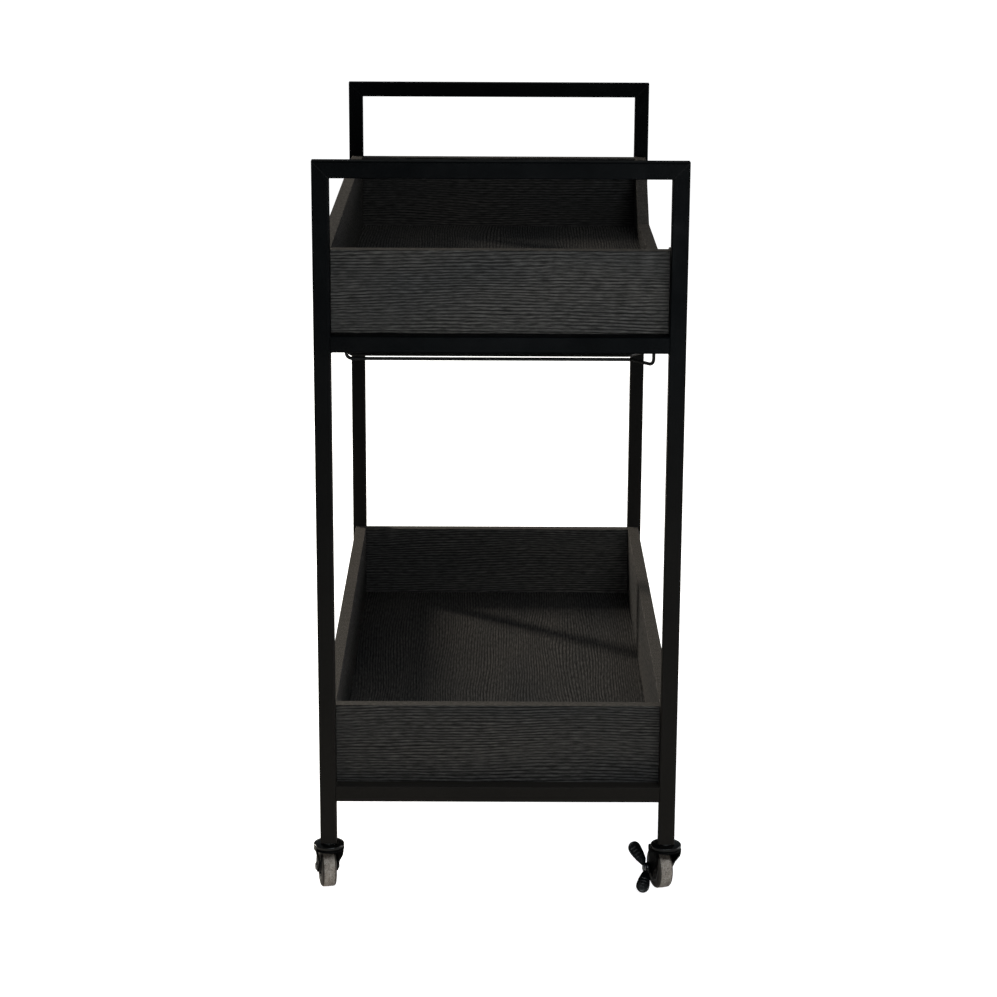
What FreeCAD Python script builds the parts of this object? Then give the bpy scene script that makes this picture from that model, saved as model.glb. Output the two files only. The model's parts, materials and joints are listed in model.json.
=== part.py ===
import FreeCAD, Part
import math
import os
import re
import Sketcher

# Two-tier bar cart on four swivel casters, two of them with brakes.
# X runs along the cart, -Y is its open front, +Z is up, and the origin is on the floor, mid-cart.
# All lengths are in millimetres and all angles in degrees.

Vector = FreeCAD.Vector
Rotation = FreeCAD.Rotation
UP = Vector(0, 0, 1)
ALONG_X = Rotation(Vector(0, 1, 0), 90)
ALONG_Y = Rotation(Vector(1, 0, 0), -90)
STRAIGHT = Rotation()

DIMENSIONS = {
    # whole cart
    "cart_length": 800,
    "cart_width": 416,
    "handle_top": 867,
    # welded steel tube frames
    "tube_side": 19,
    "tube_wall": 1.2,
    "tube_corner": 1.8,
    "leg_bottom": 64.5,
    "lower_rail_bottom": 117,
    "upper_rail_bottom": 653,
    # laminated trays
    "panel_thickness": 15,
    "tray_width": 408,
    "wall_height": 110,
    "lip_height": 36,
    "lip_half_length": 257,
    "slope_end": 351,
    "slope_round": 14,
    "edge_round": 0.7,
    "dowel_radius": 3,
    "dowel_length": 24,
    "dowel_in_wall": 9,
    "dowel_edge": 26,
    "floor_dowel_pitch": 210,
    "end_dowel_offset": 95,
    # steel tabs that carry the trays, and their screws
    "tab_thickness": 3,
    "tab_width": 24,
    "tab_length": 44,
    "tab_offset": 120,
    "screw_inset": 28,
    "screw_radius": 2,
    "screw_length": 13,
    "rack_screw_length": 12,
    "screw_head_radius": 4.2,
    "screw_head": 2.4,
    # stemware rack
    "wire_radius": 2,
    "wire_drop": 50,
    "wire_bend": 7,
    "wire_end": 182,
    "slot_half": 12,
    "slot_pitch": 133,
    "flare_out": 29,
    "flare_run": 26,
    "strip_width": 16,
    "strip_thickness": 2,
    "strip_length": 520,
    "strip_screw_offset": 132.5,
    # casters
    "insert_side": 16.3,
    "insert_length": 25,
    "stem_radius": 4,
    "stem_reach": 22,
    "stem_flange": 9,
    "flange_thickness": 1.2,
    "cup_radius": 18,
    "cup_height": 5,
    "cup_sheet": 1.8,
    "cup_rim": 2.2,
    "cup_round": 1.4,
    "ball_radius": 2,
    "ball_circle": 11,
    "ball_play": 0.05,
    "crown_thickness": 2.4,
    "rim_thickness": 3.6,
    "rim_round": 1.2,
    "rivet_radius": 7,
    "rivet_thickness": 2,
    "rivet_gap": 0.3,
    "running_gap": 0.05,
    "trail": 19,
    "wheel_radius": 25,
    "tread_depth": 7,
    "tread_width": 17.5,
    "tread_round": 3.2,
    "hub_width": 19.6,
    "hub_boss": 7,
    "hub_recess": 3.5,
    "hub_recess_radius": 14.5,
    "axle_radius": 3,
    "axle_head": 4.8,
    "axle_head_height": 1.8,
    "turned_chamfer": 1,
    "fork_sheet": 2.2,
    "fork_half": 12.5,
    "fork_half_shoulder": 15.6,
    "fork_half_crown": 16.2,
    "fork_taper_low": 38,
    "fork_taper_high": 50,
    "fork_boss": 7,
    "fork_nose": 9,
    "fork_nose_low": 48,
    "fork_tail": 15,
    "brake_start": 12.9,
    "brake_boss": 6.5,
    "brake_boss_height": 6,
    "brake_head_gap": 0.4,
    "wing_length": 28,
    "wing_root": 9,
    "wing_width": 16,
    "wing_thickness": 3.2,
    # how far cutters run past what they cut
    "spare": 1,
}

BALLS_PER_CASTER = 12
WING_SPLAY = 27
NEAR_WING_ANGLE = 214
FAR_WING_ANGLE = 67
FORK_FRONT_ANGLE = 215
FORK_REAR_ANGLE = 20

# caster name: side along X, side along Y, turn of its fork, has a brake
CASTERS = {
    "left_front": (-1, -1, 16, True),
    "left_back": (-1, 1, 11, False),
    "right_front": (1, -1, 80, True),
    "right_back": (1, 1, -160, False),
}

doc = FreeCAD.newDocument("BarCart")
sheet = doc.addObject("Spreadsheet::Sheet", "Dims")
nodes = []


def fill_sheet():
    for row, (name, value) in enumerate(DIMENSIONS.items(), start=1):
        sheet.set(f"A{row}", name)
        sheet.set(f"B{row}", str(value))
        sheet.setAlias(f"B{row}", name)
    doc.recompute()


def bound(text):
    """Spell out an expression: its plain words become cells of the sheet."""
    def cell(match):
        word = match.group()
        return "Dims." + word if word in DIMENSIONS else word

    return re.sub("[a-z_]+", cell, text)


def number(text):
    return float(sheet.evalExpression(bound(text)))


def keep(piece, node):
    """Mark a document object as a finished piece; its Label names its file."""
    piece.Label = node
    nodes.append(piece)
    return piece


def bind(piece, **values):
    for name, text in values.items():
        piece.setExpression(name, bound(text))


def place(piece, x="0", y="0", z="0", rotation=STRAIGHT):
    piece.Placement = FreeCAD.Placement(Vector(number(x), number(y), number(z)), rotation)
    for axis, text in zip("xyz", (x, y, z)):
        piece.setExpression(f"Placement.Base.{axis}", bound(text))
    return piece


# ---- Part primitives and booleans -------------------------------------------------------------

def block(name, length, width, height, x, y, z):
    """Box whose corner is at x, y, z."""
    box = doc.addObject("Part::Box", name)
    bind(box, Length=length, Width=width, Height=height)
    return place(box, x, y, z)


def rod(name, radius, height, x, y, z, rotation=STRAIGHT):
    """Cylinder that starts at x, y, z and runs along its turned Z axis."""
    cylinder = doc.addObject("Part::Cylinder", name)
    bind(cylinder, Radius=radius, Height=height)
    return place(cylinder, x, y, z, rotation)


def joined(name, pieces):
    fuse = doc.addObject("Part::MultiFuse", name)
    fuse.Shapes = pieces
    return fuse


def grouped(name, pieces):
    compound = doc.addObject("Part::Compound", name)
    compound.Links = pieces
    return compound


def drilled(name, base, drills):
    cut = doc.addObject("Part::Cut", name)
    cut.Base = base
    cut.Tool = grouped(name + "_drills", drills)
    return cut


def eased(name, base, radius):
    """Round every edge of a shape."""
    doc.recompute()
    fillet = doc.addObject("Part::Fillet", name)
    fillet.Base = base
    fillet.Edges = [(index + 1, radius, radius) for index in range(len(base.Shape.Edges))]
    return fillet


# ---- sketches and bodies ----------------------------------------------------------------------

def new_body(node):
    body = doc.addObject("PartDesign::Body", node)
    return keep(body, node)


def new_sketch(body, name, plane):
    sketch = body.newObject("Sketcher::SketchObject", f"{body.Name}_{name}")
    origin_plane = next(item for item in body.Origin.OriginFeatures if item.Role == plane)
    sketch.AttachmentSupport = [(origin_plane, "")]
    sketch.MapMode = "FlatFace"
    return sketch


def pin_corner(sketch, line, axis, text):
    """Hold a line's start point at a bound distance from the sketch's origin."""
    value = number(text)
    if abs(value) < 1e-9:
        axis_line = -2 if axis == "X" else -1
        sketch.addConstraint(Sketcher.Constraint("PointOnObject", line, 1, axis_line))
        return
    index = sketch.addConstraint(Sketcher.Constraint("Distance" + axis, -1, 1, line, 1, value))
    name = f"corner{line}{axis.lower()}"
    sketch.renameConstraint(index, name)
    sketch.setExpression("Constraints." + name, bound(text))


def outline(sketch, corners):
    """Closed straight-sided outline with every corner bound to the sheet."""
    first = sketch.GeometryCount
    count = len(corners)
    points = [Vector(number(across), number(up), 0) for across, up in corners]
    for index in range(count):
        sketch.addGeometry(Part.LineSegment(points[index], points[(index + 1) % count]))
    for index in range(count):
        after = first + (index + 1) % count
        sketch.addConstraint(Sketcher.Constraint("Coincident", first + index, 2, after, 1))
    for index, (across, up) in enumerate(corners):
        pin_corner(sketch, first + index, "X", across)
        pin_corner(sketch, first + index, "Y", up)


def rectangle(half):
    return [(f"-{half}", f"-{half}"), (half, f"-{half}"), (half, half), (f"-{half}", half)]


def padded(body, sketch, length, both_ways=False):
    pad = body.newObject("PartDesign::Pad", sketch.Name + "_pad")
    pad.Profile = sketch
    pad.SideType = "Symmetric" if both_ways else "One side"
    bind(pad, Length=length)
    return pad


def pocketed(body, sketch):
    """Cut the sketch right through the body, both ways."""
    doc.recompute()
    before = body.Shape.Volume
    pocket = body.newObject("PartDesign::Pocket", sketch.Name + "_pocket")
    pocket.Profile = sketch
    pocket.Type = "ThroughAll"
    pocket.SideType = "Symmetric"
    doc.recompute()
    if body.Shape.Volume >= before - 1e-3:
        raise RuntimeError(f"{pocket.Name} cuts nothing")
    return pocket


def revolved(body, corners, axis="V_Axis"):
    """Turned solid from a profile of (radius, height) corners."""
    sketch = new_sketch(body, "profile", "XZ_Plane")
    outline(sketch, corners)
    turn = body.newObject("PartDesign::Revolution", body.Name + "_turn")
    turn.Profile = sketch
    turn.ReferenceAxis = (sketch, [axis])
    turn.Angle = 360
    return turn


def rounded(body, radius, wanted):
    doc.recompute()
    feature = body.Tip
    names = [f"Edge{i}" for i, edge in enumerate(feature.Shape.Edges, start=1) if wanted(edge)]
    fillet = body.newObject("PartDesign::Fillet", body.Name + "_round")
    fillet.Base = (feature, names)
    bind(fillet, Radius=radius)
    return fillet


def bored(body, name, radius, height, x, y, z, rotation=STRAIGHT):
    cutter = body.newObject("PartDesign::SubtractiveCylinder", f"{body.Name}_{name}")
    bind(cutter, Radius=radius, Height=height)
    return place(cutter, x, y, z, rotation)


def added_round(body, name, radius, height, x, y, z, rotation=STRAIGHT):
    boss = body.newObject("PartDesign::AdditiveCylinder", f"{body.Name}_{name}")
    bind(boss, Radius=radius, Height=height)
    return place(boss, x, y, z, rotation)


# ---- welded frames ----------------------------------------------------------------------------

def is_long_corner(edge):
    """Edges of the square tube that run along its length."""
    box = edge.BoundBox
    return box.ZLength > 3 * number("tube_side") and max(box.XLength, box.YLength) < 1e-6


def tube(node, length, mitre_start=False, mitre_end=False):
    """Square tube along its own Z, with its long side at -Y where an end is mitred."""
    body = new_body(node)
    section = new_sketch(body, "section", "XY_Plane")
    outline(section, rectangle("tube_side / 2"))
    padded(body, section, length)
    rounded(body, "tube_corner", is_long_corner)
    hollow = new_sketch(body, "hollow", "XY_Plane")
    outline(hollow, rectangle("(tube_side / 2 - tube_wall)"))
    pocketed(body, hollow)
    near = "(tube_side / 2 + spare)"
    far = f"({length} + spare)"
    if mitre_start:
        start = new_sketch(body, "mitre_start", "YZ_Plane")
        outline(start, [(f"-{near}", "-spare"), (near, "-spare"), (near, "tube_side + spare")])
        pocketed(body, start)
    if mitre_end:
        end = new_sketch(body, "mitre_end", "YZ_Plane")
        outline(end, [(f"-{near}", far), (near, f"{length} - tube_side - spare"), (near, far)])
        pocketed(body, end)
    return body


def end_frame(end, side_x):
    """Two legs, a mitred handle bar and two rails, welded into one flat frame."""
    x = f"{side_x} * (cart_length - tube_side) / 2"
    for name, side_y in (("front", -1), ("back", 1)):
        leg = tube(f"{end}_{name}_leg", "(handle_top - leg_bottom)", mitre_end=True)
        turn = Rotation(UP, 0 if side_y < 0 else 180)
        place(leg, x, f"{side_y} * (cart_width - tube_side) / 2", "leg_bottom", turn)
    bar = tube(f"{end}_handle_bar", "cart_width", mitre_start=True, mitre_end=True)
    place(bar, x, "-cart_width / 2", "handle_top - tube_side / 2", ALONG_Y)
    for level in ("upper", "lower"):
        rail = tube(f"{end}_{level}_rail", "(cart_width - 2 * tube_side)")
        place(rail, x, "-cart_width / 2 + tube_side", f"{level}_rail_bottom + tube_side / 2", ALONG_Y)


# ---- trays ------------------------------------------------------------------------------------

HALF_INSIDE = "(cart_length / 2 - tube_side)"


def tray_bottom(level):
    return f"({level}_rail_bottom + tab_thickness)"


def corner_dowels(level, name):
    """Dowels that pin the long walls to the end panels."""
    dowels = []
    for side_x in (-1, 1):
        for side_y in (-1, 1):
            for height in ("dowel_edge", "(wall_height - dowel_edge)"):
                x = f"{side_x} * ({HALF_INSIDE} - panel_thickness / 2)"
                reach = "(tray_width / 2 - panel_thickness + dowel_in_wall)"
                y = reach + " - dowel_length" if side_y > 0 else f"-{reach}"
                z = f"{tray_bottom(level)} + {height}"
                dowels.append(rod(f"{name}_corner", "dowel_radius", "dowel_length", x, y, z, ALONG_Y))
    return dowels


def floor_dowels(level, name):
    """Dowels that pin the floor to the four walls."""
    dowels = []
    z = f"{tray_bottom(level)} + panel_thickness / 2"
    reach_y = "(tray_width / 2 - panel_thickness + dowel_in_wall)"
    reach_x = f"({HALF_INSIDE} - panel_thickness + dowel_in_wall)"
    for step in (-1.5, -0.5, 0.5, 1.5):
        x = f"{step} * floor_dowel_pitch"
        for y in (f"-{reach_y}", f"{reach_y} - dowel_length"):
            dowels.append(rod(f"{name}_side", "dowel_radius", "dowel_length", x, y, z, ALONG_Y))
    for side in (-1, 1):
        y = f"{side} * end_dowel_offset"
        for x in (f"-{reach_x}", f"{reach_x} - dowel_length"):
            dowels.append(rod(f"{name}_end", "dowel_radius", "dowel_length", x, y, z, ALONG_X))
    return dowels


def tab_screw_spots():
    """Places of the tray screws: side along X, side along Y."""
    return [(side_x, side_y) for side_x in (-1, 1) for side_y in (-1, 1)]


def tab_screw_x(side_x):
    return f"{side_x} * ({HALF_INSIDE} - screw_inset)"


def screw(name, x, y, head_top, length="screw_length"):
    """Pan-head screw pointing up; head_top is where its head meets the metal."""
    shank = rod(f"{name}_shank", "screw_radius", length, x, y, head_top)
    head = rod(f"{name}_head", "screw_head_radius", "screw_head", x, y, f"{head_top} - screw_head")
    return joined(name, [shank, head])


def plain_panel(node, length, width, height, x, y, z, drills):
    panel = block(f"{node}_blank", length, width, height, x, y, z)
    soft = eased(f"{node}_eased", panel, number("edge_round"))
    return keep(drilled(node, soft, drills), node)


def cut_away_wall(node, level, drills):
    """Front wall of the upper tray: full height at its ends, a low lip between them."""
    body = doc.addObject("PartDesign::Body", f"{node}_blank")
    face = new_sketch(body, "face", "XZ_Plane")
    left = f"-{HALF_INSIDE}"
    corners = [
        (left, "0"),
        (HALF_INSIDE, "0"),
        (HALF_INSIDE, "wall_height"),
        ("slope_end", "wall_height"),
        ("lip_half_length", "lip_height"),
        ("-lip_half_length", "lip_height"),
        ("-slope_end", "wall_height"),
        (left, "wall_height"),
    ]
    outline(face, corners)
    padded(body, face, "panel_thickness")

    def at_slope(edge):
        box = edge.BoundBox
        ends = (number("lip_half_length"), number("slope_end"))
        return box.YLength > 1 and min(abs(abs(box.Center.x) - end) for end in ends) < 0.01

    rounded(body, "slope_round", at_slope)
    place(body, "0", "-tray_width / 2 + panel_thickness", tray_bottom(level))
    soft = eased(f"{node}_eased", body, number("edge_round"))
    return keep(drilled(node, soft, drills), node)


def tray(level):
    """Five panels, pinned together with dowels."""
    bottom = tray_bottom(level)
    dowels = corner_dowels(level, level + "_dowel") + floor_dowels(level, level + "_dowel")
    keep(grouped(f"{level}_dowels", dowels), f"{level}_tray_dowels")
    length = f"2 * {HALF_INSIDE}"
    left = f"-{HALF_INSIDE}"
    inner_y = "(tray_width / 2 - panel_thickness)"
    if level == "upper":
        cut_away_wall("upper_front_wall", level, dowels)
    else:
        plain_panel("lower_front_wall", length, "panel_thickness", "wall_height",
                    left, "-tray_width / 2", bottom, dowels)
    plain_panel(f"{level}_back_wall", length, "panel_thickness", "wall_height",
                left, inner_y, bottom, dowels)
    for end, x in (("left", left), ("right", f"{HALF_INSIDE} - panel_thickness")):
        plain_panel(f"{level}_{end}_panel", "panel_thickness", f"2 * {inner_y}", "wall_height",
                    x, f"-{inner_y}", bottom, dowels)
    screws = [rod(f"{level}_pilot", "screw_radius", "screw_length", tab_screw_x(side_x),
                  f"{side_y} * tab_offset", f"{level}_rail_bottom")
              for side_x, side_y in tab_screw_spots()]
    if level == "upper":
        screws += [rod("strip_pilot", "screw_radius", "screw_length", x, y, strip_bottom())
                   for x, y in strip_screw_spots()]
    plain_panel(f"{level}_floor", f"{length} - 2 * panel_thickness", f"2 * {inner_y}",
                "panel_thickness", f"{left} + panel_thickness", f"-{inner_y}", bottom, dowels + screws)


def tray_fixings():
    """Flat tabs welded to the rails, and the screws that go up through them."""
    screws = []
    for level in ("upper", "lower"):
        tabs = []
        for side_x, side_y in tab_screw_spots():
            x = f"-{HALF_INSIDE}" if side_x < 0 else f"{HALF_INSIDE} - tab_length"
            y = f"{side_y} * tab_offset"
            tab = block(f"{level}_tab_blank", "tab_length", "tab_width", "tab_thickness",
                        x, f"{y} - tab_width / 2", f"{level}_rail_bottom")
            hole = rod(f"{level}_tab_hole", "screw_radius", "tab_thickness",
                       tab_screw_x(side_x), y, f"{level}_rail_bottom")
            tabs.append(drilled(f"{level}_tab", tab, [hole]))
            screws.append(screw(f"{level}_tray_screw", tab_screw_x(side_x), y, f"{level}_rail_bottom"))
        keep(grouped(f"{level}_tabs", tabs), f"{level}_tray_tabs")
    keep(grouped("all_tray_screws", screws), "tray_screws")


# ---- stemware rack ----------------------------------------------------------------------------

def strip_bottom():
    return f"({tray_bottom('upper')} - strip_thickness)"


def strip_y(side_y):
    """The strips lie on the floor panel, just inside the long walls."""
    return f"{side_y} * wire_end"


def strip_screw_spots():
    return [(f"{step} * strip_screw_offset / 2", strip_y(side)) for side in (-1, 1) for step in (-2, 0, 2)]


def bent_wire(points, bend, radius):
    """Round wire along straight runs joined by tangent arcs."""
    edges = []
    start = points[0]
    for before, corner, after in zip(points, points[1:], points[2:]):
        toward = (corner - before).normalize()
        away = (after - corner).normalize()
        turn = toward.getAngle(away)
        setback = bend * math.tan(turn / 2)
        arc_start = corner - toward * setback
        arc_end = corner + away * setback
        middle = (away - toward).normalize() * (bend / math.cos(turn / 2) - bend)
        edges.append(Part.LineSegment(start, arc_start).toShape())
        edges.append(Part.Arc(arc_start, corner + middle, arc_end).toShape())
        start = arc_end
    edges.append(Part.LineSegment(start, points[-1]).toShape())
    path = Part.Wire(edges)
    ring = Part.Wire(Part.makeCircle(radius, points[0], points[1] - points[0]))
    return path.makePipeShell([ring], True, True)


def rack_wire(slot_x, side):
    """One of a slot's two wires: down from the strip, along the slot, out at the mouth, up again."""
    along = slot_x + side * number("slot_half")
    mouth = along + side * number("flare_out")
    end = number("wire_end")
    top = number(strip_bottom())
    level = number(f"{tray_bottom('upper')} - wire_drop")
    points = [
        Vector(along, end, top),
        Vector(along, end, level),
        Vector(along, number("flare_run") - end, level),
        Vector(mouth, -end, level),
        Vector(mouth, -end, top),
    ]
    return bent_wire(points, number("wire_bend"), number("wire_radius"))


def stemware_rack():
    for name, side in (("front", -1), ("back", 1)):
        blank = block(f"{name}_strip_blank", "strip_length", "strip_width", "strip_thickness",
                      "-strip_length / 2", f"{strip_y(side)} - strip_width / 2", strip_bottom())
        holes = [rod("strip_hole", "screw_radius", "strip_thickness", x, y, strip_bottom())
                 for x, y in strip_screw_spots() if y == strip_y(side)]
        keep(drilled(f"rack_{name}_strip", blank, holes), f"rack_{name}_strip")
    screws = [screw("rack_screw", x, y, strip_bottom(), "rack_screw_length")
              for x, y in strip_screw_spots()]
    keep(grouped("all_rack_screws", screws), "rack_screws")
    for index in range(4):
        slot_x = (index - 1.5) * number("slot_pitch")
        pair = doc.addObject("Part::Feature", f"rack_wires_{index + 1}")
        pair.Shape = Part.makeCompound([rack_wire(slot_x, side) for side in (-1, 1)])
        keep(pair, f"rack_wires_{index + 1}")


# ---- casters ----------------------------------------------------------------------------------

CUP_TOP = "(leg_bottom - flange_thickness)"
BALL_CENTRE = f"({CUP_TOP} - cup_sheet - ball_play - ball_radius)"
CROWN_TOP = f"({BALL_CENTRE} - ball_radius - ball_play)"
CROWN_UNDERSIDE = f"({CROWN_TOP} - crown_thickness)"
RIVET_TOP = f"({CROWN_UNDERSIDE} - rivet_gap)"


def stand_caster(piece, caster, turned=True):
    """Put a piece modelled on the swivel axis under its own leg."""
    side_x, side_y, turn, _ = CASTERS[caster]
    place(piece, f"{side_x} * (cart_length - tube_side) / 2",
          f"{side_y} * (cart_width - tube_side) / 2", "0", Rotation(UP, turn if turned else 0))


def caster_stem(caster):
    """Threaded stem, flange and kingpin in one turned piece, riveted over below the fork."""
    body = new_body(f"{caster}_stem")
    profile = [
        ("0", f"{RIVET_TOP} - rivet_thickness"),
        ("rivet_radius - turned_chamfer", f"{RIVET_TOP} - rivet_thickness"),
        ("rivet_radius", RIVET_TOP),
        ("stem_radius", RIVET_TOP),
        ("stem_radius", CUP_TOP),
        ("stem_flange", CUP_TOP),
        ("stem_flange", "leg_bottom"),
        ("stem_radius", "leg_bottom"),
        ("stem_radius", "leg_bottom + stem_reach - turned_chamfer"),
        ("stem_radius - turned_chamfer", "leg_bottom + stem_reach"),
        ("0", "leg_bottom + stem_reach"),
    ]
    revolved(body, profile)
    stand_caster(body, caster, turned=False)


def is_ring(edge, radius):
    """Circular edge of one radius, square to the piece's own Z axis."""
    box = edge.BoundBox
    return box.ZLength < 1e-6 and abs(box.XLength / 2 - number(radius)) < 1e-3


def upper_rim(edge):
    """Circular edges that lie above the middle of the cup's wall."""
    box = edge.BoundBox
    return is_ring(edge, "cup_radius") and box.Center.z > number(f"{CUP_TOP} - cup_height / 2")


def ball_cup(caster):
    """Pressed upper race: a shallow cup, open side down, over the balls."""
    body = new_body(f"{caster}_ball_cup")
    rim_bottom = f"({CUP_TOP} - cup_height)"
    profile = [
        ("stem_radius", f"{CUP_TOP} - cup_sheet"),
        ("cup_radius - cup_rim", f"{CUP_TOP} - cup_sheet"),
        ("cup_radius - cup_rim", rim_bottom),
        ("cup_radius", rim_bottom),
        ("cup_radius", CUP_TOP),
        ("stem_radius", CUP_TOP),
    ]
    revolved(body, profile)
    rounded(body, "cup_round", upper_rim)
    stand_caster(body, caster, turned=False)


def on_fork_boss(angle):
    """Point on the round end of the fork plate, at an angle about the axle."""
    return f"trail + fork_boss * cos({angle})", f"wheel_radius + fork_boss * sin({angle})"


def fork(caster):
    """Pressed fork: round crown, shoulders that draw in, and two plates down to the axle."""
    body = new_body(f"{caster}_fork")
    plate = new_sketch(body, "plate", "XZ_Plane")
    corners = [
        ("-fork_nose", CROWN_TOP),
        ("-fork_nose", "fork_nose_low"),
        on_fork_boss(FORK_FRONT_ANGLE),
        ("trail", "wheel_radius"),
        on_fork_boss(FORK_REAR_ANGLE),
        ("fork_tail", CROWN_TOP),
    ]
    outline(plate, corners)
    padded(body, plate, "2 * fork_half_crown", both_ways=True)
    added_round(body, "boss", "fork_boss", "2 * fork_half", "trail", "-fork_half", "wheel_radius", ALONG_Y)
    shoulders = new_sketch(body, "shoulders", "YZ_Plane")
    for side in ("", "-"):
        corners = [
            (f"{side}cup_radius", f"{CROWN_TOP} - rim_thickness"),
            (f"{side}fork_half_crown", f"{CROWN_TOP} - rim_thickness"),
            (f"{side}fork_half_shoulder", "fork_taper_high"),
            (f"{side}fork_half", "fork_taper_low"),
            (f"{side}fork_half", "spare"),
            (f"{side}cup_radius", "spare"),
        ]
        outline(shoulders, corners)
    pocketed(body, shoulders)
    crown_profile = [
        ("0", f"{CROWN_TOP} - rim_thickness"),
        ("cup_radius - rim_round", f"{CROWN_TOP} - rim_thickness"),
        ("cup_radius", f"{CROWN_TOP} - rim_thickness + rim_round"),
        ("cup_radius", f"{CROWN_TOP} - rim_round"),
        ("cup_radius - rim_round", CROWN_TOP),
        ("0", CROWN_TOP),
    ]
    revolved(body, crown_profile)
    inside = new_sketch(body, "inside", "YZ_Plane")
    half_crown = "(fork_half_crown - fork_sheet)"
    half_shoulder = "(fork_half_shoulder - fork_sheet)"
    half_axle = "(fork_half - fork_sheet)"
    corners = [
        (f"-{half_axle}", "spare"),
        (half_axle, "spare"),
        (half_axle, "fork_taper_low"),
        (half_shoulder, "fork_taper_high"),
        (half_crown, CROWN_UNDERSIDE),
        (f"-{half_crown}", CROWN_UNDERSIDE),
        (f"-{half_shoulder}", "fork_taper_high"),
        (f"-{half_axle}", "fork_taper_low"),
    ]
    outline(inside, corners)
    pocketed(body, inside)
    bored(body, "kingpin_hole", "stem_radius + running_gap", "3 * crown_thickness",
          "0", "0", f"{CROWN_TOP} - 2 * crown_thickness")
    bored(body, "axle_hole", "axle_radius", "2 * cup_radius", "trail", "-cup_radius", "wheel_radius", ALONG_Y)
    stand_caster(body, caster)


def axle_middle(caster):
    side_x, side_y, turn, _ = CASTERS[caster]
    x = f"{side_x} * (cart_length - tube_side) / 2 + trail * cos({turn})"
    y = f"{side_y} * (cart_width - tube_side) / 2 + trail * sin({turn})"
    return x, y, "wheel_radius"


def turned_on_axle(node, profile, caster):
    """Turned piece of the wheel; its own Z axis becomes the axle's line."""
    body = new_body(node)
    revolved(body, profile)
    swivel = Rotation(UP, CASTERS[caster][2])
    place(body, *axle_middle(caster), swivel.multiply(ALONG_Y))
    return body


def axle(caster, has_brake):
    """Riveted axle, longer where it also carries the brake lever."""
    tip = "(brake_start + brake_boss_height + rivet_gap)" if has_brake else "fork_half"
    profile = [
        ("0", "-fork_half - axle_head_height"),
        ("axle_head - turned_chamfer", "-fork_half - axle_head_height"),
        ("axle_head", "-fork_half - axle_head_height + turned_chamfer"),
        ("axle_head", "-fork_half"),
        ("axle_radius", "-fork_half"),
        ("axle_radius", tip),
        ("axle_head", tip),
        ("axle_head", f"{tip} + axle_head_height - turned_chamfer"),
        ("axle_head - turned_chamfer", f"{tip} + axle_head_height"),
        ("0", f"{tip} + axle_head_height"),
    ]
    turned_on_axle(f"{caster}_axle", profile, caster)


def wheel(caster):
    """Moulded hub that runs on the axle, and the soft tread around it."""
    rim = "(wheel_radius - tread_depth)"
    bore = "(axle_radius + running_gap)"
    half = "(hub_width / 2)"
    rim_half = "(tread_width / 2)"
    web_half = f"({rim_half} - hub_recess)"
    hub_profile = [
        (bore, f"-{half}"),
        ("hub_boss", f"-{half}"),
        ("hub_boss", f"-{web_half}"),
        ("hub_recess_radius", f"-{web_half}"),
        ("hub_recess_radius", f"-{rim_half}"),
        (rim, f"-{rim_half}"),
        (rim, rim_half),
        ("hub_recess_radius", rim_half),
        ("hub_recess_radius", web_half),
        ("hub_boss", web_half),
        ("hub_boss", half),
        (bore, half),
    ]
    turned_on_axle(f"{caster}_hub", hub_profile, caster)
    tread_profile = [
        (rim, f"-{rim_half}"),
        ("wheel_radius", f"-{rim_half}"),
        ("wheel_radius", rim_half),
        (rim, rim_half),
    ]
    tread = turned_on_axle(f"{caster}_tread", tread_profile, caster)
    rounded(tread, "tread_round", lambda edge: is_ring(edge, "wheel_radius"))


def wing(name, angle):
    """Tapered pedal with a round end, as wide along the axle; angle is its rise, seen along the axle."""
    blade = doc.addObject("Part::Wedge", name + "_blade")
    bind(blade, Xmin="-wing_root / 2", Xmax="wing_root / 2", X2min="-wing_width / 2", X2max="wing_width / 2")
    bind(blade, Ymin="0", Ymax="wing_length")
    bind(blade, Zmin="-wing_thickness / 2", Zmax="wing_thickness / 2",
         Z2min="-wing_thickness / 2", Z2max="wing_thickness / 2")
    tip = rod(name + "_tip", "wing_width / 2", "wing_thickness", "0", "wing_length", "-wing_thickness / 2")
    pedal = joined(name, [blade, tip])
    lean = Rotation(Vector(0, 1, 0), -angle).multiply(Rotation(UP, WING_SPLAY - 90))
    return place(pedal, "0", "brake_start + brake_boss_height / 2", "0", lean)


def brake_lever(caster):
    """Two-winged foot lever that rocks on the outer end of the axle."""
    boss = rod("brake_boss", "brake_boss", "brake_boss_height", "0", "brake_start", "0", ALONG_Y)
    wings = [wing("near_wing", NEAR_WING_ANGLE), wing("far_wing", FAR_WING_ANGLE)]
    lever = joined("brake_blank", [boss] + wings)
    clear = [
        rod("brake_bore", "axle_radius + running_gap", "2 * cup_radius", "0", "0", "0", ALONG_Y),
        rod("fork_side", "2 * cup_radius", "brake_start", "0", "0", "0", ALONG_Y),
        rod("rivet_side", "axle_head + brake_head_gap", "cup_radius",
            "0", "brake_start + brake_boss_height", "0", ALONG_Y),
    ]
    piece = drilled(f"{caster}_brake", lever, clear)
    keep(piece, f"{caster}_brake_lever")
    place(piece, *axle_middle(caster), Rotation(UP, CASTERS[caster][2]))


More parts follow.
